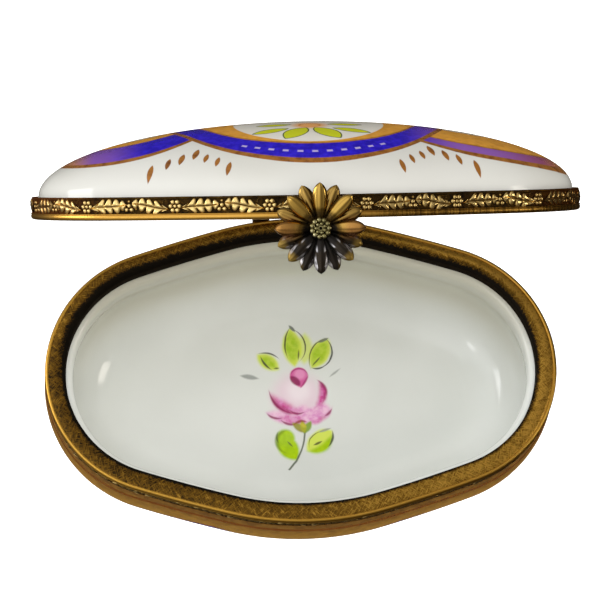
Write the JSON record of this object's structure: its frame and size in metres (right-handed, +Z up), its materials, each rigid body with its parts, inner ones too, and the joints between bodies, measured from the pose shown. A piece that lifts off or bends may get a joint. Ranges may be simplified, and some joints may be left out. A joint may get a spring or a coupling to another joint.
{
  "type": "hinged trinket box",
  "caption": "Oval porcelain trinket box with a domed lid on a knuckle hinge, leaf-pattern brass rims and a daisy clasp, shown open.",
  "frame": {"origin": "centre of the foot ring, in the plane that the box stands on", "axes": "+Z up, +X along the length to the right as seen from the clasp side, +Y from the clasp to the hinge"},
  "size_m": [0.0832, 0.0592, 0.0758],
  "materials": {
    "porcelain": "gloss",
    "antique_brass": "satin",
    "gilt_brass": "polished",
    "cement": "matte"
  },
  "bodies": {
    "base": {"base_bowl": "porcelain", "base_cement": "cement", "base_gallery": "antique_brass", "base_ring": "antique_brass", "hinge_knuckle_base_centre": "antique_brass", "hinge_knuckle_base_left": "antique_brass", "hinge_knuckle_base_right": "antique_brass", "hinge_pin": "antique_brass"},
    "lid": {"clasp_rivet": "antique_brass", "clasp_tongue": "antique_brass", "daisy_back_petals": "gilt_brass", "daisy_boss": "gilt_brass", "daisy_front_petals": "gilt_brass", "hinge_knuckle_lid_left": "antique_brass", "hinge_knuckle_lid_right": "antique_brass", "lid_cement": "cement", "lid_dome": "porcelain", "lid_gallery": "antique_brass", "lid_ring": "antique_brass"}
  },
  "joints": [
    {"name": "lid_hinge", "type": "hinge", "parent": "base", "child": "lid", "pos_m": [0, 0.02685, 0.02355], "axis": [-1, 0, 0], "range_deg": [-66, 29]}
  ]
}
